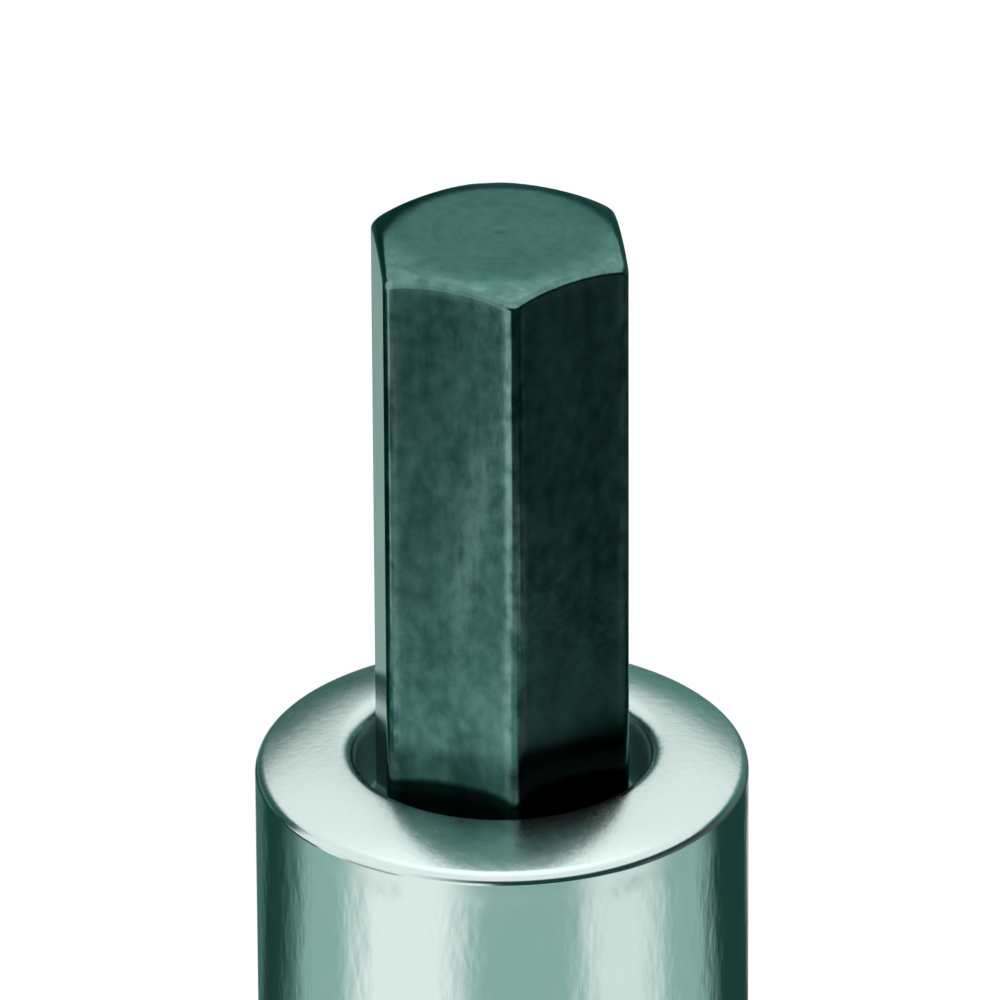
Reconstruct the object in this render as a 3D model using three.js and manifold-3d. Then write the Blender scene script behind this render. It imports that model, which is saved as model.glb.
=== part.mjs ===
// Hex bit socket: a plated round socket body with a square drive hole in its lower end,
// a hardened hex bit standing in a hex seat at its upper end, and a grub screw that holds the bit.
// Millimetres, +Z up along the tool's axis, origin at the centre of the drive end face.

import * as THREE from 'three';
import { mergeVertices } from 'three/addons/utils/BufferGeometryUtils.js';
import Module from 'manifold-3d';

// Hex bit
const hexAcrossFlats = 12;
const bitEdgeRadius = 0.8;
const bitProjection = 28.3;
const crownInset = 1.5;
const crownArcRadius = 3.8;

// Body and its mouth around the bit
const bodyDiameter = 24.5;
const boreClearance = 0.5;
const boreDepth = 4;
const faceLipSlope = 1;
const faceRimSlope = 21;
const rimRadius = 0.7;
const lipRadius = 0.8;
const endChamfer = 0.8;

// Seat that the bit stands in
const seatDepth = 10;
const seatClearance = 0.1;
const seatCornerRadius = 0.35;
const webThickness = 1.7;
const webHoleDiameter = 5;

// Square drive hole
const driveSquare = 12.7;
const driveClearance = 0.1;
const driveCornerRadius = 0.3;
const driveDepth = 16;
const leadInWidth = 0.25;
const leadInAngle = 50;
const detentRadius = 3.2;
const detentDepth = 0.85;
const detentHeight = 7.9;

// Grub screw
const screwDiameter = 6;
const screwPitch = 1;
const screwThreadDepth = 0.54;
const threadCrestShare = 0.125;
const threadRootShare = 0.25;
const screwSetBack = 1.1;
const screwPointDiameter = 4;
const screwTopChamfer = 0.4;
const screwClearance = 0.1;
const screwTipGap = 0.1;
const screwHoleChamfer = 0.3;
const recessAcrossFlats = 3;
const recessDepth = 2.5;
const recessChamfer = 0.25;
const recessCornerRadius = 0.075;

// Fineness of the round forms
const roundSegments = 96;
const screwSegments = 32;
const hollowSegments = 32;
const hollowRings = 24;
const stepsPerPitch = 6;
const filletSteps = 4;
const domeSteps = 6;
const edgeSteps = 3;
const crownSteps = 6;
const crownMargin = 0.3;
const cutMargin = 1;

const wasm = await Module();
wasm.setup();

function radians(degrees) {
  return THREE.MathUtils.degToRad(degrees);
}

// Closed geometry as a solid, with shared corners merged and empty triangles on the axis dropped
function solidFrom(geometry) {
  const plain = geometry.clone();
  plain.deleteAttribute('normal');
  plain.deleteAttribute('uv');
  const merged = mergeVertices(plain, 1e-4);
  const corners = merged.index.array;
  const triangles = [];
  for (let i = 0; i < corners.length; i += 3) {
    const a = corners[i];
    const b = corners[i + 1];
    const c = corners[i + 2];
    if (a !== b && b !== c && c !== a) {
      triangles.push(a, b, c);
    }
  }
  const mesh = new wasm.Mesh({
    numProp: 3,
    vertProperties: new Float32Array(merged.attributes.position.array),
    triVerts: new Uint32Array(triangles),
  });
  return new wasm.Manifold(mesh);
}

function meshFrom(name, solid, material) {
  const { vertProperties, triVerts } = solid.getMesh();
  const geometry = new THREE.BufferGeometry();
  geometry.setAttribute('position', new THREE.BufferAttribute(vertProperties, 3));
  geometry.setIndex(new THREE.BufferAttribute(triVerts, 1));
  geometry.computeVertexNormals();
  const mesh = new THREE.Mesh(geometry, material);
  mesh.name = name;
  return mesh;
}

// Profile of radius and height pairs turned about Z
function turned(profile, segments) {
  const points = profile.map(([radius, height]) => new THREE.Vector2(radius, height));
  const geometry = new THREE.LatheGeometry(points, segments);
  geometry.rotateX(Math.PI / 2);
  return geometry;
}

// Regular outline with rounded corners, its first corner on the given angle
function roundedOutline(sides, apothem, cornerRadius, firstAngle) {
  const turn = (2 * Math.PI) / sides;
  const centreDistance = (apothem - cornerRadius) / Math.cos(turn / 2);
  const points = [];
  for (let side = 0; side < sides; side += 1) {
    const middle = firstAngle + side * turn;
    for (let step = 0; step <= edgeSteps; step += 1) {
      const angle = middle + turn * (step / edgeSteps - 0.5);
      points.push(new THREE.Vector2(
        centreDistance * Math.cos(middle) + cornerRadius * Math.cos(angle),
        centreDistance * Math.sin(middle) + cornerRadius * Math.sin(angle),
      ));
    }
  }
  return new THREE.Shape(points);
}

function prism(shape, bottom, top) {
  const geometry = new THREE.ExtrudeGeometry(shape, { depth: top - bottom, bevelEnabled: false });
  geometry.translate(0, 0, bottom);
  return geometry;
}

// Points of an arc about a centre at a radius and height, from one angle to another
function arcPoints(radius, height, size, fromAngle, toAngle, steps) {
  const points = [];
  for (let step = 0; step <= steps; step += 1) {
    const angle = fromAngle + ((toAngle - fromAngle) * step) / steps;
    points.push([radius + size * Math.cos(angle), height + size * Math.sin(angle)]);
  }
  return points;
}

// Heights of the stack, from the drive end face upwards
const webTop = driveDepth + webThickness;
const boreFloor = webTop + seatDepth;
const lipHeight = boreFloor + boreDepth;
const bitLength = seatDepth + boreDepth + bitProjection;

// Radii
const bodyRadius = bodyDiameter / 2;
const hexApothem = hexAcrossFlats / 2;
const bitCornerRadius = (hexApothem - bitEdgeRadius) / Math.cos(Math.PI / 6) + bitEdgeRadius;
const boreRadius = bitCornerRadius + boreClearance;
const seatApothem = hexApothem + seatClearance;
const driveApothem = driveSquare / 2 + driveClearance;
const driveCorner = (driveApothem - driveCornerRadius) * Math.SQRT2 + driveCornerRadius;
const leadInRadius = driveCorner + leadInWidth;
const leadInDepth = (leadInRadius - driveApothem) / Math.tan(radians(leadInAngle));

// The mouth face is a shallow dome: an arc that grows steeper from the lip to the rim,
// with a fillet at each edge
const lipNormal = Math.PI / 2 - radians(faceLipSlope);
const rimNormal = Math.PI / 2 - radians(faceRimSlope);
const lipCentre = boreRadius + lipRadius;
const rimCentre = bodyRadius - rimRadius;
const lipBase = lipHeight - lipRadius;
const domeInner = lipCentre + lipRadius * Math.cos(lipNormal);
const domeOuter = rimCentre + rimRadius * Math.cos(rimNormal);
const domeRadius = (domeOuter - domeInner) / (Math.cos(rimNormal) - Math.cos(lipNormal));
const domeCentre = domeInner - domeRadius * Math.cos(lipNormal);
const domeBase = lipBase + (lipRadius - domeRadius) * Math.sin(lipNormal);
const rimBase = domeBase + (domeRadius - rimRadius) * Math.sin(rimNormal);
const rimFillet = arcPoints(rimCentre, rimBase, rimRadius, 0, rimNormal, filletSteps);
const dome = arcPoints(domeCentre, domeBase, domeRadius, rimNormal, lipNormal, domeSteps);
const lipFillet = arcPoints(lipCentre, lipBase, lipRadius, lipNormal, Math.PI, filletSteps);

const bodyBlank = solidFrom(turned([
  [0, 0],
  [bodyRadius - endChamfer, 0],
  [bodyRadius, endChamfer],
  ...rimFillet,
  ...dome.slice(1, -1),
  ...lipFillet,
  [boreRadius, boreFloor],
  [0, boreFloor],
], roundSegments));

// Square drive hole with a conical lead-in and a detent hollow in each wall
const driveOutline = roundedOutline(4, driveApothem, driveCornerRadius, Math.PI / 4);
const driveHole = solidFrom(prism(driveOutline, -cutMargin, driveDepth));
const leadInTan = Math.tan(radians(leadInAngle));
const leadIn = solidFrom(turned([
  [0, -cutMargin],
  [leadInRadius + cutMargin * leadInTan, -cutMargin],
  [driveApothem, leadInDepth],
  [0, leadInDepth],
], roundSegments));
const webHole = new THREE.CylinderGeometry(
  webHoleDiameter / 2,
  webHoleDiameter / 2,
  webThickness + 2 * cutMargin,
  screwSegments,
);
webHole.rotateX(Math.PI / 2);
webHole.translate(0, 0, driveDepth + webThickness / 2);

let body = bodyBlank.subtract(driveHole).subtract(leadIn).subtract(solidFrom(webHole));
for (let wall = 0; wall < 4; wall += 1) {
  const hollow = new THREE.SphereGeometry(detentRadius, hollowSegments, hollowRings);
  hollow.translate(driveApothem + detentDepth - detentRadius, 0, detentHeight);
  hollow.rotateZ((wall * Math.PI) / 2);
  body = body.subtract(solidFrom(hollow));
}

// Hex seat below the round bore, corners along X
const seatOutline = roundedOutline(6, seatApothem, seatCornerRadius, 0);
body = body.subtract(solidFrom(prism(seatOutline, webTop, boreFloor + cutMargin)));

// Screw hole across the wall at half the seat's depth, on the flat that faces +Y
const screwRadius = screwDiameter / 2;
const screwHeight = webTop + seatDepth / 2;
const screwTip = hexApothem + screwTipGap;
const screwLength = bodyRadius - screwSetBack - screwTip;
const screwHoleRadius = screwRadius + screwClearance;
const screwHoleMouth = Math.sqrt(bodyRadius ** 2 - screwHoleRadius ** 2) - screwHoleChamfer;
const screwHoleEnd = bodyRadius + cutMargin;
const screwHole = turned([
  [0, hexApothem - cutMargin],
  [screwHoleRadius, hexApothem - cutMargin],
  [screwHoleRadius, screwHoleMouth],
  [screwHoleRadius + screwHoleEnd - screwHoleMouth, screwHoleEnd],
  [0, screwHoleEnd],
], screwSegments);
screwHole.rotateX(-Math.PI / 2);
screwHole.translate(0, 0, screwHeight);
body = body.subtract(solidFrom(screwHole));

// Hex bit with rounded edges, turned at both ends to a flat circle with an arc around it
const crownFlat = hexApothem - crownInset;
const crownReach = bitCornerRadius + crownMargin;
const crownEnd = Math.acos((crownReach - crownFlat) / crownArcRadius);
const tipCentre = bitLength - crownArcRadius;
const footCrown = arcPoints(crownFlat, crownArcRadius, crownArcRadius, -Math.PI / 2, -crownEnd, crownSteps);
const tipCrown = arcPoints(crownFlat, tipCentre, crownArcRadius, crownEnd, Math.PI / 2, crownSteps);
const bitOutline = roundedOutline(6, hexApothem, bitEdgeRadius, 0);
const bitEnvelope = solidFrom(turned([
  [0, 0],
  ...footCrown,
  ...tipCrown,
  [0, bitLength],
], roundSegments));
const bit = solidFrom(prism(bitOutline, 0, bitLength)).intersect(bitEnvelope);

// Grub screw: a cylinder whose skin follows the thread, with a flat point and a hex recess
const screwSteps = Math.round((screwLength / screwPitch) * stepsPerPitch);
const screwSkin = new THREE.CylinderGeometry(
  screwRadius,
  screwRadius,
  screwLength,
  screwSegments,
  screwSteps,
);
screwSkin.rotateX(Math.PI / 2);
screwSkin.translate(0, 0, screwLength / 2);

// Radius of the screw at an angle and a height above its point; the thread's crest and root are flat
// over their shares of the pitch
function threadRadius(angle, height) {
  const phase = height / screwPitch - angle / (2 * Math.PI);
  const wave = Math.abs(2 * (phase - Math.floor(phase)) - 1);
  const flankShare = 1 - threadCrestShare - threadRootShare;
  const flank = THREE.MathUtils.clamp((wave - threadRootShare) / flankShare, 0, 1);
  const thread = screwRadius - screwThreadDepth * (1 - flank);
  const point = screwPointDiameter / 2 + height;
  const top = screwRadius - screwTopChamfer + screwLength - height;
  return Math.min(thread, point, top);
}

const skinPoints = screwSkin.attributes.position;
for (let i = 0; i < skinPoints.count; i += 1) {
  const x = skinPoints.getX(i);
  const y = skinPoints.getY(i);
  const z = skinPoints.getZ(i);
  const reach = Math.hypot(x, y);
  if (reach > screwRadius / 2) {
    const scale = threadRadius(Math.atan2(y, x), z) / reach;
    skinPoints.setXY(i, x * scale, y * scale);
  }
}
const recessOutline = roundedOutline(6, recessAcrossFlats / 2, recessCornerRadius, 0);
const recess = prism(recessOutline, screwLength - recessDepth, screwLength + cutMargin);
const recessCorner = recessAcrossFlats / 2 / Math.cos(Math.PI / 6);
const recessMouth = turned([
  [0, screwLength - recessChamfer],
  [recessCorner - recessChamfer / 2, screwLength - recessChamfer],
  [recessCorner + recessChamfer / 2 + cutMargin, screwLength + cutMargin],
  [0, screwLength + cutMargin],
], screwSegments);
const screw = solidFrom(screwSkin).subtract(solidFrom(recess)).subtract(solidFrom(recessMouth));

const chrome = new THREE.MeshStandardMaterial({ color: 0xc3d4d0, roughness: 0.2, metalness: 1 });
const darkSteel = new THREE.MeshStandardMaterial({ color: 0x3d5350, roughness: 0.45, metalness: 0.9 });
const blackSteel = new THREE.MeshStandardMaterial({ color: 0x262d2c, roughness: 0.5, metalness: 0.9 });

const group = new THREE.Group();
group.add(meshFrom('socket_body', body, chrome));

const bitMesh = meshFrom('hex_bit', bit, darkSteel);
bitMesh.position.z = webTop;
group.add(bitMesh);

// The screw's point faces the bit's flat and its recess faces out along +Y
const screwPlace = new THREE.Group();
screwPlace.position.set(0, screwTip, screwHeight);
screwPlace.rotation.x = -Math.PI / 2;
screwPlace.add(meshFrom('set_screw', screw, blackSteel));
group.add(screwPlace);

export default group;
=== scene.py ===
import math

import bmesh
import bpy
from mathutils import Matrix, Vector


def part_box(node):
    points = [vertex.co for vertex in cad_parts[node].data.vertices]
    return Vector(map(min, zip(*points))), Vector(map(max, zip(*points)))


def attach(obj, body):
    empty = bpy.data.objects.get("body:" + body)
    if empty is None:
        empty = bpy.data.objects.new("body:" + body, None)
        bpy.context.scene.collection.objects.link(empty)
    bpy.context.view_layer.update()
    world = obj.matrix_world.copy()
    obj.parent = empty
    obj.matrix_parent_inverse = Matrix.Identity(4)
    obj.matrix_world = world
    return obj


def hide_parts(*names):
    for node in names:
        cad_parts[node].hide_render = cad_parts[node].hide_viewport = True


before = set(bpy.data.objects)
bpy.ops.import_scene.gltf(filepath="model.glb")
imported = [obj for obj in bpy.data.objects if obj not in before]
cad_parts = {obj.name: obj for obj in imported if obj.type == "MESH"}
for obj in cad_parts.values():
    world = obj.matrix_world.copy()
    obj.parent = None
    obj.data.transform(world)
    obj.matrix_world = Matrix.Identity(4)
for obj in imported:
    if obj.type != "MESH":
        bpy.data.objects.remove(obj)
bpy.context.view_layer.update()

MM = 0.001
body_low, body_high = [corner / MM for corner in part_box("socket_body")]
bit_low, bit_high = [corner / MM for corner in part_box("hex_bit")]
screw_low, screw_high = [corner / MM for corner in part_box("set_screw")]

# Hex bit, in millimetres
HEX_APOTHEM = bit_high.y
BIT_EDGE_RADIUS = 0.8
BIT_FOOT = bit_low.z
BIT_TIP = bit_high.z
CROWN_FLAT = 4.5
CROWN_ARC = 3.8
CROWN_EDGE = 0.4
CROWN_HEIGHT = 1.6

# Rings of the turned ends: the centre mark as distances from the axis with depths, then distances on
# the flat circle and on the crown; shares of a flat's width where the sides have points
CENTRE_MARK = ((0.16, 0.012), (0.3, 0.008), (0.42, 0.0), (0.6, 0.0))
TIP_REACHES = (1.5, 2.5, 3.5, 4.2, CROWN_FLAT)
CROWN_REACHES = (4.65, 4.8, 4.95, 5.1, 5.25, 5.4, 5.55)
FLAT_SHARES = (0.03, 0.1, 0.2, 0.3, 0.4, 0.5, 0.6, 0.7, 0.8, 0.9, 0.97)

# Marks on the bit: heights between which the painted shade near the body and the painted shade on one flat
# fade out, heights of the painted black reflection of the bore on that flat, the flat that is painted
# darker, in degrees, and the distance from the axis at which the worn edges begin
FOOT_SHADE_HEIGHTS = (34.0, 38.0)
DARK_FLAT_SHADE_HEIGHTS = (38.0, 49.0)
BORE_REFLECTION_HEIGHTS = (34.4, 36.6)
SHADED_FLAT = -30
LONG_EDGE = (6.55, 6.72)

# Pale streaks rubbed on the flats: direction of the flat in degrees, then place across it, lean,
# middle height and length
STREAK_WIDTH = 0.9
RUBS = ((-90, 1.2, 0.15, 46.8, 12), (30, -1.4, -0.08, 44.0, 9), (150, 0.6, 0.1, 49.0, 10))

# Body and its mouth
BODY_RADIUS = body_high.x
LIP_HEIGHT = body_high.z
BORE_RADIUS = 7.304
BORE_FLOOR = 27.7
FACE_LIP_SLOPE = 1
FACE_RIM_SLOPE = 21
RIM_RADIUS = 0.7
LIP_RADIUS = 0.8
BORE_FOOT_ROUNDING = 0.08
END_CHAMFER = 0.8
END_ROUNDING = 0.3

# Seat of the bit and the web below it
SEAT_APOTHEM = 6.1
SEAT_CORNER = 0.35
SEAT_CHAMFER = 0.12
SEAT_EDGE_RADIUS = 7.2
WEB_TOP = bit_low.z
WEB_HOLE = 2.5
WEB_CHAMFER = 0.15

# Square drive hole
DRIVE_APOTHEM = 6.45
DRIVE_CORNER = 0.3
DRIVE_DEPTH = 16.0
LEAD_IN_RADIUS = 9.247
LEAD_IN_RISE = 1 / math.tan(math.radians(50))
DETENT_RADIUS = 3.2
DETENT_DEPTH = 0.85
DETENT_HEIGHT = 7.9
DETENT_REACH = 2.6
DETENT_STEPS = 26

# Grub screw
SCREW_HEIGHT = (screw_low.z + screw_high.z) / 2
SCREW_TIP = screw_low.y
SCREW_LENGTH = screw_high.y - screw_low.y
SCREW_RADIUS = 3.0
SCREW_PITCH = 1.0
THREAD_DEPTH = 0.54
THREAD_CREST = 0.125
THREAD_ROOT = 0.25
SCREW_POINT = 2.0
SCREW_TOP_CHAMFER = 0.4
SCREW_TOP_RING = 2.3
SCREW_HOLE = 3.1
SCREW_HOLE_CHAMFER = 0.3
RECESS_APOTHEM = 1.5
RECESS_CORNER = 0.075
RECESS_DEPTH = 2.5
RECESS_MOUTH = 1.95
RECESS_WALL_TOP = 0.6
RECESS_FLOOR_RISE = 0.05
RECESS_FLOOR_RADIUS = 1.3
SCREW_SIDES = 120
SCREW_STEPS = 100

# The floor lies a little below the tool's end face, in millimetres
FLOOR_GAP = 0.05
FLOOR_REACH = 4000

# Colours of the finishes
PLATE_COOL = (0.66, 0.79, 0.755, 1)
PLATE_PALE = (0.73, 0.84, 0.81, 1)
PLATE_INSIDE = (0.3, 0.85, 0.77, 1)
STEEL_DARK = (0.034, 0.107, 0.096, 1)
STEEL_GREY = (0.094, 0.225, 0.206, 1)
STEEL_RUBBED = (0.15, 0.3, 0.28, 1)
STEEL_WORN = (0.26, 0.42, 0.4, 1)
# Painted shade: dark colour for the shade at the bit's foot near the body and on the darker flat
STEEL_PAINTED_SHADE = (0.004, 0.012, 0.011, 1)
# Painted reflection: near-black colour for the dark bore seen in the bit's flat
STEEL_PAINTED_REFLECTION = (0.0008, 0.002, 0.002, 1)
STEEL_EDGE_TINT = (0.55, 0.66, 0.63, 1)
SCREW_BLACK = (0.03, 0.05, 0.047, 1)
SCREW_GREY = (0.1, 0.135, 0.13, 1)
FLOOR_PAINT = (0.86, 0.86, 0.86, 1)
WHITE = (1, 1, 1, 1)

# View of the photograph: angles in degrees, distance in millimetres, the tip's middle in pixels
VIEW_AZIMUTH = 24.35
VIEW_ELEVATION = 25.85
VIEW_ROLL = 0.3
VIEW_DISTANCE = 672
PIXELS_PER_MM = 20.564
TIP_PIXEL = (500.6, 230.2)
IMAGE_SIDE = 1000


class Wire:
    """An output of a node; arithmetic on it adds Math nodes."""

    def __init__(self, finish, socket):
        self.finish = finish
        self.socket = socket

    def maths(self, operation, *values):
        return self.finish.node("ShaderNodeMath", {"operation": operation}, dict(enumerate(values)))

    def __add__(self, other):
        return self.maths("ADD", self, other)

    def __sub__(self, other):
        return self.maths("SUBTRACT", self, other)

    def __rsub__(self, other):
        return self.maths("SUBTRACT", other, self)

    def __mul__(self, other):
        return self.maths("MULTIPLY", self, other)

    def __pow__(self, other):
        return self.maths("POWER", self, other)

    def most(self, other):
        return self.maths("MAXIMUM", self, other)

    __radd__ = __add__
    __rmul__ = __mul__


class Finish:
    """A node tree that is filled one node at a time."""

    def __init__(self, tree):
        self.tree = tree
        tree.nodes.clear()

    def node(self, kind, settings, sockets, output=0):
        made = self.tree.nodes.new(kind)
        for name, value in settings.items():
            setattr(made, name, value)
        for name, value in sockets.items():
            if isinstance(value, Wire):
                self.tree.links.new(value.socket, made.inputs[name])
            else:
                made.inputs[name].default_value = value
        if not made.outputs:
            return None
        return Wire(self, made.outputs[output])

    def place(self, output="Object"):
        return self.node("ShaderNodeTexCoord", {}, {}, output)

    def split(self, vector):
        return [self.node("ShaderNodeSeparateXYZ", {}, {"Vector": vector}, axis) for axis in "XYZ"]

    def join(self, x, y, z):
        return self.node("ShaderNodeCombineXYZ", {}, {"X": x, "Y": y, "Z": z})

    def noise(self, vector, size, detail=3.0, rough=0.55):
        """Cloudy values from 0 to 1 with features of a size in millimetres."""
        sockets = {"Vector": vector, "Scale": 1 / size, "Detail": detail, "Roughness": rough}
        return self.node("ShaderNodeTexNoise", {}, sockets, "Fac")

    def fade(self, value, low, high):
        """0 below the low value, 1 above the high one, and a soft step between."""
        settings = {"interpolation_type": "SMOOTHSTEP"}
        return self.node("ShaderNodeMapRange", settings, {"Value": value, "From Min": low, "From Max": high})

    def blend(self, amount, first, second):
        settings = {"data_type": "RGBA"}
        return self.node("ShaderNodeMix", settings, {"Factor": amount, "A": first, "B": second}, "Result")

    def bump(self, height):
        """Normal of a surface raised by a height in millimetres."""
        return self.node("ShaderNodeBump", {}, {"Height": height, "Strength": 1.0, "Distance": MM})

    def metal(self, colour, rough, normal, edge_tint=WHITE):
        """Bare or plated metal; the edge tint dims and colours what is seen at a glancing angle."""
        sockets = {"Base Color": colour, "Metallic": 1.0, "Roughness": rough, "Normal": normal}
        sockets["Specular Tint"] = edge_tint
        self.shade(self.node("ShaderNodeBsdfPrincipled", {}, sockets))

    def shade(self, shader):
        self.node("ShaderNodeOutputMaterial", {}, {"Surface": shader})


def new_finish(name):
    material = bpy.data.materials.new(name)
    material.use_nodes = True
    return material, Finish(material.node_tree)


def new_object(name, mesh, material):
    piece = bpy.data.objects.new(name, mesh)
    bpy.context.scene.collection.objects.link(piece)
    piece.data.materials.append(material)
    return piece


def dress(piece, node):
    """The piece rides on the body of the CAD node that it stands for."""
    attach(piece, node)
    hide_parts(node)


# Forms


def unit(angle):
    return Vector((math.cos(angle), math.sin(angle)))


def arc(centre, radius, start, end, steps):
    return [centre + radius * unit(start + (end - start) * step / steps) for step in range(steps + 1)]


def rounded(before, corner, after, radius, steps=6):
    """Points of the arc that rounds a corner between two straight stretches."""
    towards, away = (before - corner).normalized(), (after - corner).normalized()
    half = towards.angle(away) / 2
    centre = corner + (towards + away).normalized() * (radius / math.sin(half))
    start = corner + towards * (radius / math.tan(half)) - centre
    sweep = math.pi - 2 * half
    turn = math.copysign(sweep, towards.cross(away))
    first = math.atan2(start.y, start.x)
    return arc(centre, radius, first, first - turn, steps)


def polygon_reach(angle, sides, apothem, corner_radius, first_corner=0.0):
    """Distance from the axis to a rounded polygon's outline at an angle."""
    turn = 2 * math.pi / sides
    offset = (angle - first_corner + turn / 2) % turn - turn / 2
    centre = (apothem - corner_radius) / math.cos(turn / 2)
    tangent = math.atan2(
        corner_radius * math.sin(turn / 2), centre + corner_radius * math.cos(turn / 2)
    )
    if abs(offset) < tangent:
        across = centre * math.sin(offset)
        return centre * math.cos(offset) + math.sqrt(corner_radius**2 - across**2)
    return apothem / math.cos(turn / 2 - abs(offset))


def ring_at(angles, reach, height):
    return [(reach * math.cos(a), reach * math.sin(a), height) for a in angles]


def even_angles(count):
    return [2 * math.pi * i / count for i in range(count)]


def loft(name, rings, closed=False):
    """Skin through rings of points; open ends are drawn together at a middle point."""
    build = bmesh.new()
    rows = [[build.verts.new(Vector(point) * MM) for point in ring] for ring in rings]
    count = len(rows[0])
    pairs = list(zip(rows, rows[1:]))
    if closed:
        pairs.append((rows[-1], rows[0]))
    for low, high in pairs:
        for i in range(count):
            j = (i + 1) % count
            build.faces.new((low[i], low[j], high[j], high[i]))
    if not closed:
        for row in (rows[0], rows[-1]):
            middle = build.verts.new(sum((vert.co for vert in row), Vector()) / count)
            for i in range(count):
                build.faces.new((row[i], row[(i + 1) % count], middle))
    bmesh.ops.recalc_face_normals(build, faces=build.faces)
    mesh = bpy.data.meshes.new(name)
    build.to_mesh(mesh)
    build.free()
    return mesh


def smooth(mesh, angle=30):
    mesh.shade_smooth()
    mesh.set_sharp_from_angle(angle=math.radians(angle))


# Socket body


def body_angles():
    """Angles around the body, close together where the seat and the drive hole have their corners."""
    corners = [60 * i for i in range(6)] + [45 + 90 * i for i in range(4)]
    marks = {float(2 * i) for i in range(180)}
    for corner in corners:
        marks |= {(corner + 0.4 * step) % 360 for step in range(-6, 7)}
    return [math.radians(mark) for mark in sorted(marks)]


def mouth_profile():
    """Rounded rim, domed face and rounded lip, from the side of the body to the bore."""
    lip_normal = math.radians(90 - FACE_LIP_SLOPE)
    rim_normal = math.radians(90 - FACE_RIM_SLOPE)
    lip_centre = Vector((BORE_RADIUS + LIP_RADIUS, LIP_HEIGHT - LIP_RADIUS))
    dome_inner = lip_centre + LIP_RADIUS * unit(lip_normal)
    dome_outer = BODY_RADIUS - RIM_RADIUS + RIM_RADIUS * math.cos(rim_normal)
    dome_radius = (dome_outer - dome_inner.x) / (math.cos(rim_normal) - math.cos(lip_normal))
    dome_centre = dome_inner - dome_radius * unit(lip_normal)
    rim_centre = dome_centre + (dome_radius - RIM_RADIUS) * unit(rim_normal)
    rim = arc(rim_centre, RIM_RADIUS, 0, rim_normal, 14)
    dome = arc(dome_centre, dome_radius, rim_normal, lip_normal, 12)
    lip = arc(lip_centre, LIP_RADIUS, lip_normal, math.pi, 8)
    return rim + dome[1:-1] + lip


def detent_push(across, height):
    """How far a point of the drive wall is pressed outwards by the detent hollow."""
    gap = math.hypot(across, height - DETENT_HEIGHT)
    depth = math.sqrt(max(DETENT_RADIUS**2 - gap**2, 0)) - (DETENT_RADIUS - DETENT_DEPTH)
    return max(depth, 0)


def drive_reach(angle):
    return polygon_reach(angle, 4, DRIVE_APOTHEM, DRIVE_CORNER, math.pi / 4)


def drive_ring(angles, height):
    ring = []
    for angle in angles:
        x, y = drive_reach(angle) * unit(angle)
        if abs(x) > abs(y):
            x += math.copysign(detent_push(y, height), x)
        else:
            y += math.copysign(detent_push(x, height), y)
        ring.append((x, y, height))
    return ring


def lead_in_ring(angles):
    """Curve where the conical lead-in meets the walls of the drive hole."""
    ring = []
    for angle in angles:
        reach = drive_reach(angle)
        ring.append((*(reach * unit(angle)), (LEAD_IN_RADIUS - reach) * LEAD_IN_RISE))
    return ring


def seat_ring(angles, height, grow=0.0):
    ring = []
    for angle in angles:
        reach = polygon_reach(angle, 6, SEAT_APOTHEM + grow, SEAT_CORNER)
        ring.append((*(reach * unit(angle)), height))
    return ring


def body_mesh():
    angles = body_angles()
    end = Vector((LEAD_IN_RADIUS, 0))
    end_edge = Vector((BODY_RADIUS - END_CHAMFER, 0))
    side_edge = Vector((BODY_RADIUS, END_CHAMFER))
    side_low = Vector((BODY_RADIUS, SCREW_HEIGHT - 1.5 * SCREW_HOLE))
    side_high = Vector((BODY_RADIUS, SCREW_HEIGHT + 1.5 * SCREW_HOLE))
    bore_foot = Vector((BORE_RADIUS, BORE_FLOOR))
    seat_edge = Vector((SEAT_EDGE_RADIUS, BORE_FLOOR))
    outline = [end]
    outline += rounded(end, end_edge, side_edge, END_ROUNDING)
    outline += rounded(end_edge, side_edge, side_low, END_ROUNDING)
    outline += [side_low, side_high]
    outline += mouth_profile()
    outline += rounded(Vector((BORE_RADIUS, LIP_HEIGHT)), bore_foot, seat_edge, BORE_FOOT_ROUNDING)
    outline.append(seat_edge)
    rings = [ring_at(angles, *point) for point in outline]
    rings.append(seat_ring(angles, BORE_FLOOR, SEAT_CHAMFER))
    rings.append(seat_ring(angles, BORE_FLOOR - SEAT_CHAMFER))
    rings.append(seat_ring(angles, WEB_TOP))
    rings.append(ring_at(angles, WEB_HOLE + WEB_CHAMFER, WEB_TOP))
    rings.append(ring_at(angles, WEB_HOLE, WEB_TOP - WEB_CHAMFER))
    rings.append(ring_at(angles, WEB_HOLE, DRIVE_DEPTH))
    rings.append(drive_ring(angles, DRIVE_DEPTH))
    for step in range(DETENT_STEPS + 1):
        rise = DETENT_REACH * (1 - 2 * step / DETENT_STEPS)
        rings.append(drive_ring(angles, DETENT_HEIGHT + rise))
    rings.append(lead_in_ring(angles))
    return loft("socket_body_skin", rings, closed=True)


def across_body(mesh, distance=0.0):
    """Turns a form that stands on Z so that it points out along Y at the screw's height."""
    mesh.transform(Matrix.Rotation(-math.pi / 2, 4, "X"))
    mesh.transform(Matrix.Translation((0, distance * MM, SCREW_HEIGHT * MM)))
    return mesh


def screw_hole_mesh():
    """The hole across the wall, from inside the seat to outside the body, widened at its mouth."""
    mouth = math.sqrt(BODY_RADIUS**2 - SCREW_HOLE**2) - SCREW_HOLE_CHAMFER
    past = BODY_RADIUS + 1 - mouth
    angles = even_angles(96)
    rings = [
        ring_at(angles, SCREW_HOLE, HEX_APOTHEM - 1),
        ring_at(angles, SCREW_HOLE, mouth),
        ring_at(angles, SCREW_HOLE + past, mouth + past),
    ]
    return across_body(loft("screw_hole_form", rings))


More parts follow.
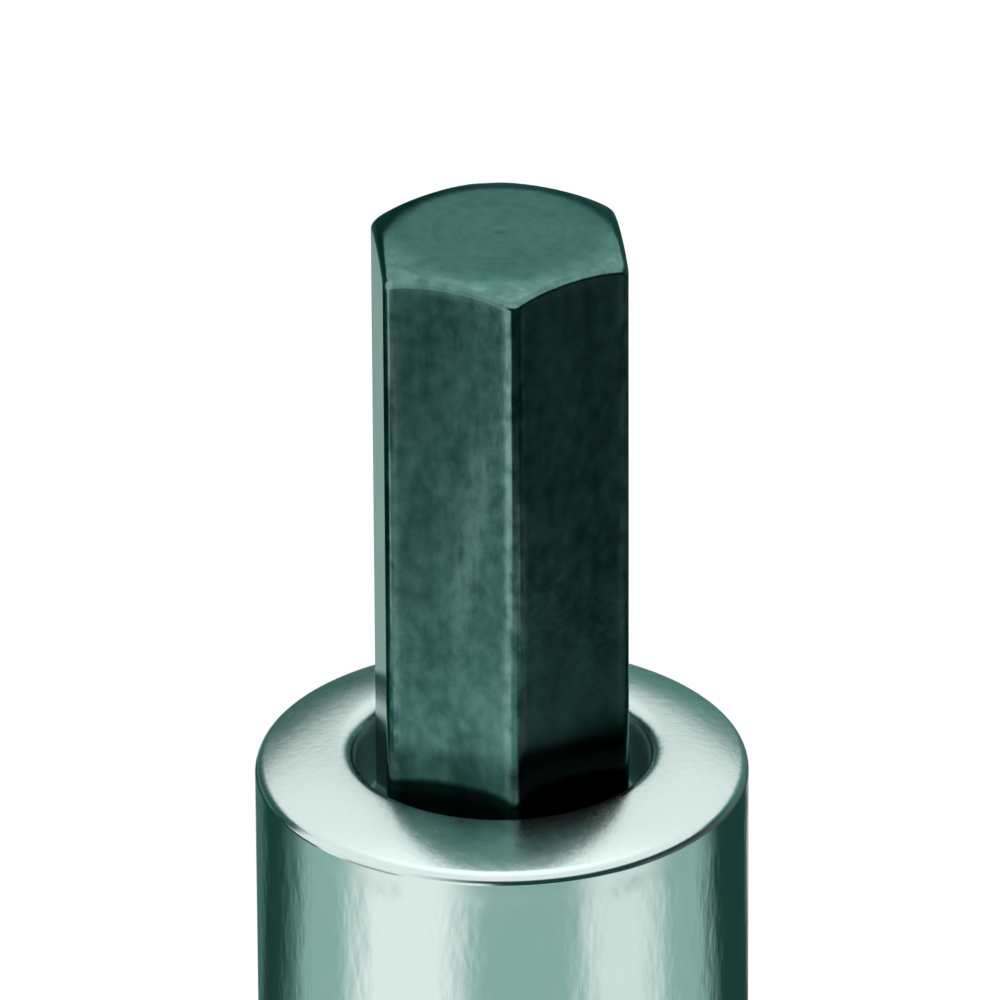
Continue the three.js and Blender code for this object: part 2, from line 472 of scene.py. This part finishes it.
def cut_away(piece, form):
    """Takes the form out of the piece's mesh for good."""
    cut = piece.modifiers.new("cut", "BOOLEAN")
    cut.operation = "DIFFERENCE"
    cut.solver = "EXACT"
    cut.object = form
    bpy.context.view_layer.update()
    shown = piece.evaluated_get(bpy.context.evaluated_depsgraph_get())
    mesh = bpy.data.meshes.new_from_object(shown)
    piece.modifiers.clear()
    piece.data = mesh
    bpy.data.objects.remove(form)


def make_body(material):
    piece = new_object("socket_body_shell", body_mesh(), material)
    cut_away(piece, new_object("screw_hole_form", screw_hole_mesh(), material))
    smooth(piece.data)
    dress(piece, "socket_body")


# Hex bit


def bit_outline():
    """Points round the bit's section: rounded edges with flats between them."""
    points = []
    centre = (HEX_APOTHEM - BIT_EDGE_RADIUS) / math.cos(math.pi / 6)
    for side in range(6):
        middle = math.radians(60 * side)
        points += arc(centre * unit(middle), BIT_EDGE_RADIUS, middle - math.pi / 6, middle + math.pi / 6, 12)
        normal = middle + math.pi / 6
        along = unit(normal + math.pi / 2)
        for share in FLAT_SHARES:
            points.append(HEX_APOTHEM * unit(normal) + along * centre * (share - 0.5))
    return points


def crown_drop(reach):
    """How far the turned crown lies below the tip at a distance from the axis."""
    past = max(reach - CROWN_FLAT, 0)
    return CROWN_ARC - math.sqrt(CROWN_ARC**2 - past**2)


def crown_edge_rings(outline, steps=8):
    """Rings that round the edge between the crown and the sides."""
    rings = []
    for step in range(steps + 1):
        share = step / steps
        ring = []
        for point in outline:
            reach = point.length
            inner, edge = crown_drop(reach - CROWN_EDGE), crown_drop(reach)
            far = reach - CROWN_EDGE * (1 - share) ** 2
            drop = inner * (1 - share) ** 2 + edge * 2 * share * (1 - share) + (edge + CROWN_EDGE) * share**2
            ring.append((point * (far / reach), drop))
        rings.append(ring)
    return rings


def bit_mesh():
    outline = bit_outline()

    def level_ring(reach, drop):
        return [(point.normalized() * reach, drop) for point in outline]

    crown = [level_ring(reach, drop) for reach, drop in CENTRE_MARK]
    crown += [level_ring(reach, crown_drop(reach)) for reach in TIP_REACHES + CROWN_REACHES]
    crown += crown_edge_rings(outline)
    tip = [[(*point, BIT_TIP - drop) for point, drop in ring] for ring in crown]
    foot = [[(*point, BIT_FOOT + drop) for point, drop in ring] for ring in reversed(crown)]
    ends = (BIT_TIP - CROWN_HEIGHT, BIT_FOOT + CROWN_HEIGHT)
    middle = [[(*point, height) for point in outline] for height in ends]
    return loft("hex_bit_skin", tip + middle + foot)


def make_bit(material):
    piece = new_object("hex_bit_bar", bit_mesh(), material)
    smooth(piece.data, 40)
    dress(piece, "hex_bit")


# Grub screw


def thread_reach(angle, height):
    phase = height / SCREW_PITCH - angle / (2 * math.pi)
    wave = abs(2 * (phase % 1) - 1)
    flank = (wave - THREAD_ROOT) / (1 - THREAD_ROOT - THREAD_CREST)
    thread = SCREW_RADIUS - THREAD_DEPTH * (1 - min(max(flank, 0), 1))
    return min(thread, SCREW_POINT + height, SCREW_RADIUS - SCREW_TOP_CHAMFER + SCREW_LENGTH - height)


def screw_mesh():
    angles = even_angles(SCREW_SIDES)
    recess = [polygon_reach(a, 6, RECESS_APOTHEM, RECESS_CORNER) for a in angles]
    top, floor = SCREW_LENGTH, SCREW_LENGTH - RECESS_DEPTH

    def recess_ring(height):
        return [(*(r * unit(a)), height) for r, a in zip(recess, angles)]

    rings = [ring_at(angles, SCREW_POINT / 2, 0), ring_at(angles, SCREW_POINT - 0.1, 0)]
    for step in range(SCREW_STEPS + 1):
        height = SCREW_LENGTH * step / SCREW_STEPS
        rings.append([(*(thread_reach(a, height) * unit(a)), height) for a in angles])
    rings.append(ring_at(angles, SCREW_TOP_RING, top))
    rings.append(ring_at(angles, RECESS_MOUTH, top))
    rings.append([(*(r * unit(a)), top - (RECESS_MOUTH - r)) for r, a in zip(recess, angles)])
    rings.append(recess_ring(top - RECESS_WALL_TOP))
    rings.append(recess_ring(floor + RECESS_FLOOR_RISE))
    rings.append(ring_at(angles, RECESS_FLOOR_RADIUS, floor))
    return across_body(loft("set_screw_skin", rings), SCREW_TIP)


def make_screw(material):
    piece = new_object("set_screw_grub", screw_mesh(), material)
    smooth(piece.data, 35)
    dress(piece, "set_screw")


# Finishes, with places in millimetres from the tool's origin


def tool_place(finish):
    """Place on the tool."""
    settings = {"operation": "SCALE"}
    return finish.node("ShaderNodeVectorMath", settings, {"Vector": finish.place(), "Scale": 1 / MM})


def tool_axes(finish, place):
    """X, Y and Z of a place, and its distance from the tool's axis."""
    x, y, z = finish.split(place)
    return x, y, z, (x * x + y * y) ** 0.5


def chrome_plate():
    material, finish = new_finish("chrome_plate")
    place = tool_place(finish)
    x, y, z, reach = tool_axes(finish, place)
    cloud = finish.noise(place, 3.5, 4.0)
    drawn = finish.noise(finish.join(x, y, 0.3 * z), 0.5, 3.0)
    dents = finish.noise(finish.join(x, y, 0.35 * z), 1.1, 2.0)
    grain = finish.noise(place, 0.45, 3.0)
    face = finish.fade(z, LIP_HEIGHT - 1.15, LIP_HEIGHT - 0.75)
    side = 1 - finish.fade(z, LIP_HEIGHT - 3.1, LIP_HEIGHT - 1.5)
    bore = 1 - finish.fade(reach, BORE_RADIUS + 0.016, BORE_RADIUS + 0.146)
    below_web = 1 - finish.fade(z, DRIVE_DEPTH + 0.2, DRIVE_DEPTH + 1)
    drive = (1 - finish.fade(reach, LEAD_IN_RADIUS - 0.247, LEAD_IN_RADIUS + 0.053)) * below_web
    inside = bore.most(drive)
    plated = finish.blend(cloud, PLATE_COOL, PLATE_PALE)
    tone = finish.blend(0.5 * inside, plated, PLATE_INSIDE)
    rough = 0.1 + 0.06 * cloud + face * (0.075 + 0.1 * grain) + 0.5 * inside
    height = (0.012 * drawn + 0.045 * dents) * side + 0.009 * grain * face
    finish.metal(tone, rough, finish.bump(height))
    return material


def on_flat(finish, x, y, flat):
    """1 on the flat that faces an angle in degrees, 0 on the others."""
    facing = unit(math.radians(flat))
    return finish.fade(x * facing.x + y * facing.y, HEX_APOTHEM - 0.1, HEX_APOTHEM - 0.02)


def rubbed_streak(finish, x, y, z, flat, across, lean, middle, length):
    """1 along a slanting streak on one flat, 0 away from it."""
    facing = unit(math.radians(flat))
    rise = z - middle
    aside = y * facing.x - x * facing.y - across - lean * rise
    line = 1 - finish.fade(aside * aside, 0.0, STREAK_WIDTH**2)
    ends = 1 - finish.fade(rise * rise, 0.1 * length**2, 0.3 * length**2)
    return on_flat(finish, x, y, flat) * line * ends


def dark_steel():
    material, finish = new_finish("dark_steel")
    x, y, z, reach = tool_axes(finish, tool_place(finish))
    mottle = finish.noise(finish.join(x, y, 0.75 * z), 0.75, 3.0, 0.5)
    patch = finish.noise(finish.join(x, y, 0.5 * z), 2.8, 2.0)
    streak = finish.noise(finish.join(x, y, 0.08 * z), 0.5, 2.0)
    past = (reach - CROWN_FLAT).most(0.0)
    edge_height = BIT_TIP - CROWN_ARC + (CROWN_ARC**2 - past * past) ** 0.5
    outside = finish.fade(reach, HEX_APOTHEM - 0.2, HEX_APOTHEM - 0.05)
    crown_edge = finish.fade(z - edge_height, -0.3, -0.1) * outside
    long_edge = finish.fade(reach, *LONG_EDGE)
    worn = (0.45 * crown_edge).most(long_edge) * finish.fade(mottle + streak, 0.7, 1.2)
    rubs = [rubbed_streak(finish, x, y, z, *rub) for rub in RUBS]
    rubbed = rubs[0].most(rubs[1]).most(rubs[2]) * finish.fade(mottle + streak, 0.6, 1.2)
    above_foot = finish.fade(z, BIT_FOOT - 0.7, BIT_FOOT + 0.3)
    # Painted shade: the bit is darkened low down, near the body's bore, to stand for shade and the dark
    # bore's reflection there
    foot_shade = (1 - finish.fade(z + 2.5 * patch + 1.5 * mottle, *FOOT_SHADE_HEIGHTS)) * above_foot
    # Painted shade: the one flat facing -30 degrees is darkened over its lower part, as its shaded side
    shaded_flat = on_flat(finish, x, y, SHADED_FLAT)
    flat_shade = shaded_flat * (1 - finish.fade(z + 3 * patch, *DARK_FLAT_SHADE_HEIGHTS))
    # Painted reflection: a near-black band low on that flat stands for the dark bore reflected in it
    bore_reflection = shaded_flat * (1 - finish.fade(z + patch, *BORE_REFLECTION_HEIGHTS))
    tip = finish.fade(z, BIT_TIP - 0.16, BIT_TIP)
    crown = finish.fade(z, BIT_TIP - 1.2, BIT_TIP - 0.8) * (1 - tip)
    turning = finish.noise(finish.join(reach, 0.0, 0.0), 0.3, 2.0)
    level = (0.5 * mottle + 0.42 * patch + 0.08 * streak) * (1 - 0.6 * tip) + tip * (0.25 + 0.16 * turning)
    dark = finish.blend(finish.fade(level, 0.3, 0.7), STEEL_DARK, STEEL_GREY)
    pale = finish.blend((0.75 * rubbed).most(0.32 * crown), dark, STEEL_RUBBED)
    bright = finish.blend(0.5 * worn, pale, STEEL_WORN)
    # Blends in the painted shade at the foot and on the darker flat
    shaded = finish.blend((0.65 * foot_shade).most(0.82 * flat_shade), bright, STEEL_PAINTED_SHADE)
    # Lays the painted near-black reflection of the bore over the low part of that flat
    tone = finish.blend(0.97 * bore_reflection, shaded, STEEL_PAINTED_REFLECTION)
    rough = 0.1 + 0.06 * mottle + 0.03 * streak + 0.08 * tip
    height = 0.008 * mottle * (1 - tip) + 0.004 * turning * tip
    finish.metal(tone, rough, finish.bump(height), STEEL_EDGE_TINT)
    return material


def black_steel():
    material, finish = new_finish("black_steel")
    place = tool_place(finish)
    mottle = finish.noise(place, 0.6, 4.0)
    grain = finish.noise(place, 0.15, 2.0)
    tone = finish.blend(mottle, SCREW_BLACK, SCREW_GREY)
    rough = 0.33 + 0.15 * mottle + 0.08 * grain
    finish.metal(tone, rough, finish.bump(0.006 * grain + 0.008 * mottle))
    return material


# Studio


def seen_ray(finish):
    """1 for rays from the camera, a mirror or glass, 0 for light that only falls on things."""
    camera, glossy, clear = [
        finish.node("ShaderNodeLightPath", {}, {}, name)
        for name in ("Is Camera Ray", "Is Glossy Ray", "Is Transmission Ray")
    ]
    return camera.most(glossy).most(clear)


def make_floor():
    material, finish = new_finish("pale_floor")
    paint = finish.node("ShaderNodeBsdfDiffuse", {}, {"Color": FLOOR_PAINT})
    glow = finish.node("ShaderNodeEmission", {}, {"Color": WHITE, "Strength": 1.0})
    finish.shade(finish.node("ShaderNodeMixShader", {}, {"Fac": 0.6 * seen_ray(finish), 1: paint, 2: glow}))
    build = bmesh.new()
    below = Matrix.Translation((0, 0, -FLOOR_GAP * MM))
    bmesh.ops.create_grid(build, x_segments=8, y_segments=8, size=FLOOR_REACH * MM, matrix=below)
    mesh = bpy.data.meshes.new("floor")
    build.to_mesh(mesh)
    build.free()
    new_object("floor", mesh, material)


def make_world():
    world = bpy.data.worlds.new("studio")
    bpy.context.scene.world = world
    world.use_nodes = True
    finish = Finish(world.node_tree)
    up = finish.split(finish.place("Generated"))[2]
    overhead = finish.fade(up, 0.75, 0.95)
    strength = 0.55 + (0.45 + 0.35 * overhead) * seen_ray(finish)
    sky = finish.node("ShaderNodeBackground", {}, {"Color": WHITE, "Strength": strength})
    finish.node("ShaderNodeOutputWorld", {}, {"Surface": sky})


def make_lamp(name, place, size, power):
    data = bpy.data.lights.new(name, "AREA")
    data.shape = "DISK"
    data.size = size
    data.energy = power
    lamp = bpy.data.objects.new(name, data)
    bpy.context.scene.collection.objects.link(lamp)
    lamp.location = place
    aim = Vector((0, 0, 0.03)) - Vector(place)
    lamp.rotation_mode = "QUATERNION"
    lamp.rotation_quaternion = aim.to_track_quat("-Z", "Y")
    lamp.visible_glossy = False


def board_finish(name, tone):
    """A board of one tone that thins out where its cover falls to nothing."""
    material, finish = new_finish(name)
    cover = finish.node("ShaderNodeAttribute", {"attribute_name": "cover"}, {}, "Fac")
    glow = finish.node("ShaderNodeEmission", {}, {"Color": (*tone, 1), "Strength": 1.0})
    clear = finish.node("ShaderNodeBsdfTransparent", {}, {})
    finish.shade(finish.node("ShaderNodeMixShader", {}, {"Fac": cover, 1: clear, 2: glow}))
    material.cycles.emission_sampling = "NONE"
    return material


def soft_border(place, low, high, width):
    """1 well between two borders, falling to 0 at them over a width."""
    share = min(max(min(place - low, high - place) / width, 0), 1)
    return share * share * (3 - 2 * share)


def make_board(name, tone, angles, near, far, softness=12, edge=0.25):
    """A curved board that only the metal's reflections show, as flags and cards round a studio table are.

    Angles are in degrees to the right of the camera, near and far are (distance, height) in millimetres."""
    columns = 120
    border = [edge * step / 6 for step in range(7)]
    build = bmesh.new()
    cover = build.verts.layers.float.new("cover")
    grid = []
    for along in border + [1 - share for share in reversed(border)]:
        distance, height = (a + (b - a) * along for a, b in zip(near, far))
        line = []
        for column in range(columns + 1):
            angle = angles[0] + (angles[1] - angles[0]) * column / columns
            turn = math.radians(VIEW_AZIMUTH - 90 + angle)
            vert = build.verts.new(Vector((*(distance * unit(turn)), height)) * MM)
            vert[cover] = soft_border(angle, *angles, softness) * soft_border(along, 0, 1, edge)
            line.append(vert)
        grid.append(line)
    for low, high in zip(grid, grid[1:]):
        for i in range(columns):
            build.faces.new((low[i], low[i + 1], high[i + 1], high[i]))
    mesh = bpy.data.meshes.new(name)
    build.to_mesh(mesh)
    build.free()
    board = new_object(name, mesh, board_finish(name, tone))
    board.visible_camera = False
    board.visible_diffuse = False
    board.visible_transmission = False
    board.visible_shadow = False


def make_boards():
    grey, black = (0.32, 0.49, 0.45), (0.014, 0.05, 0.044)
    make_board("pale_card", (0.84, 0.9, 0.88), (34, 90), (12, 0.2), (86, 0.2), 14, 0.04)
    make_board("grey_card_front", grey, (-29, 47), (12, 0.3), (86, 0.3), 22, 0.04)
    make_board("grey_card_left", grey, (-140, -54), (12, 0.3), (86, 0.3), 24, 0.04)
    make_board("grey_card_right", grey, (58, 140), (12, 0.3), (86, 0.3), 24, 0.04)
    make_board("dark_card_left", (0.06, 0.15, 0.13), (-172, -90), (12, 0.5), (86, 0.5), 18, 0.04)
    make_board("black_card_left", black, (-142, -106), (12, 0.6), (86, 0.6), 12, 0.04)
    make_board("black_card_right", black, (90, 166), (12, 0.6), (86, 0.6), 22, 0.04)
    make_board("left_card_near", (0.45, 0.48, 0.48), (-74, -42), (74, 0.7), (130, 0.7), 6, 0.15)
    make_board("left_card_far", (0.27, 0.29, 0.29), (-74, -42), (95, 0.8), (160, 0.8), 6, 0.2)
    make_board("black_card_edge", black, (-160, -82), (75, 0.9), (140, 0.9), 8, 0.1)
    make_board("black_card_far", black, (-170, -98), (125, 1.0), (640, 1.0), 12, 0.03)
    make_board("dark_card_front", (0.01, 0.045, 0.042), (-10, 66), (80, 0.8), (460, 0.8), 9, 0.05)
    make_board("dark_card_right", (0.085, 0.1, 0.1), (44, 172), (74, 0.7), (460, 0.7), 9, 0.03)
    make_board("grey_card_back", (0.48, 0.67, 0.62), (170, 206), (60, 0.7), (135, 0.7), 8, 0.1)
    make_board("back_card", (0.08, 0.16, 0.145), (112, 248), (115, 1.1), (640, 1.1), 14, 0.06)
    make_board("back_board_left", (0.02, 0.1, 0.085), (174, 264), (600, -70), (600, 328), 10, 0.15)
    make_board("back_board_right", (0.06, 0.2, 0.17), (98, 186), (620, -70), (620, 311), 10, 0.15)
    make_board("front_board", black, (-45, 135), (450, -50), (450, 185), 40, 0.2)


def make_camera():
    azimuth, elevation = math.radians(VIEW_AZIMUTH), math.radians(VIEW_ELEVATION)
    data = bpy.data.cameras.new("camera")
    data.sensor_width = 36
    pixels = PIXELS_PER_MM * VIEW_DISTANCE
    data.lens = data.sensor_width * pixels / IMAGE_SIDE
    data.clip_start = 0.05
    data.clip_end = 20
    camera = bpy.data.objects.new("camera", data)
    bpy.context.scene.collection.objects.link(camera)
    level = math.cos(elevation) * unit(azimuth - math.pi / 2)
    back = Vector((*level, math.sin(elevation)))
    camera.location = Vector((0, 0, BIT_TIP * MM)) + back * VIEW_DISTANCE * MM
    camera.rotation_mode = "QUATERNION"
    turn = (-back).to_track_quat("-Z", "Y")
    pitch = math.atan((IMAGE_SIDE / 2 - TIP_PIXEL[1]) / pixels)
    yaw = math.atan((TIP_PIXEL[0] - IMAGE_SIDE / 2) / pixels)
    roll = Matrix.Rotation(math.radians(-VIEW_ROLL), 3, "Z")
    tilt = Matrix.Rotation(-pitch, 3, "X") @ Matrix.Rotation(yaw, 3, "Y") @ roll
    camera.rotation_quaternion = (turn.to_matrix() @ tilt).to_quaternion()
    bpy.context.scene.camera = camera


make_camera()
make_body(chrome_plate())
make_bit(dark_steel())
make_screw(black_steel())
make_floor()
make_world()
make_boards()
make_lamp("overhead_lamp", (-0.05, 0.1, 0.8), 0.7, 4.0)
make_lamp("side_lamp", (-0.5, 0.3, 0.5), 0.5, 1.2)

bpy.context.scene.view_settings.view_transform = "Standard"
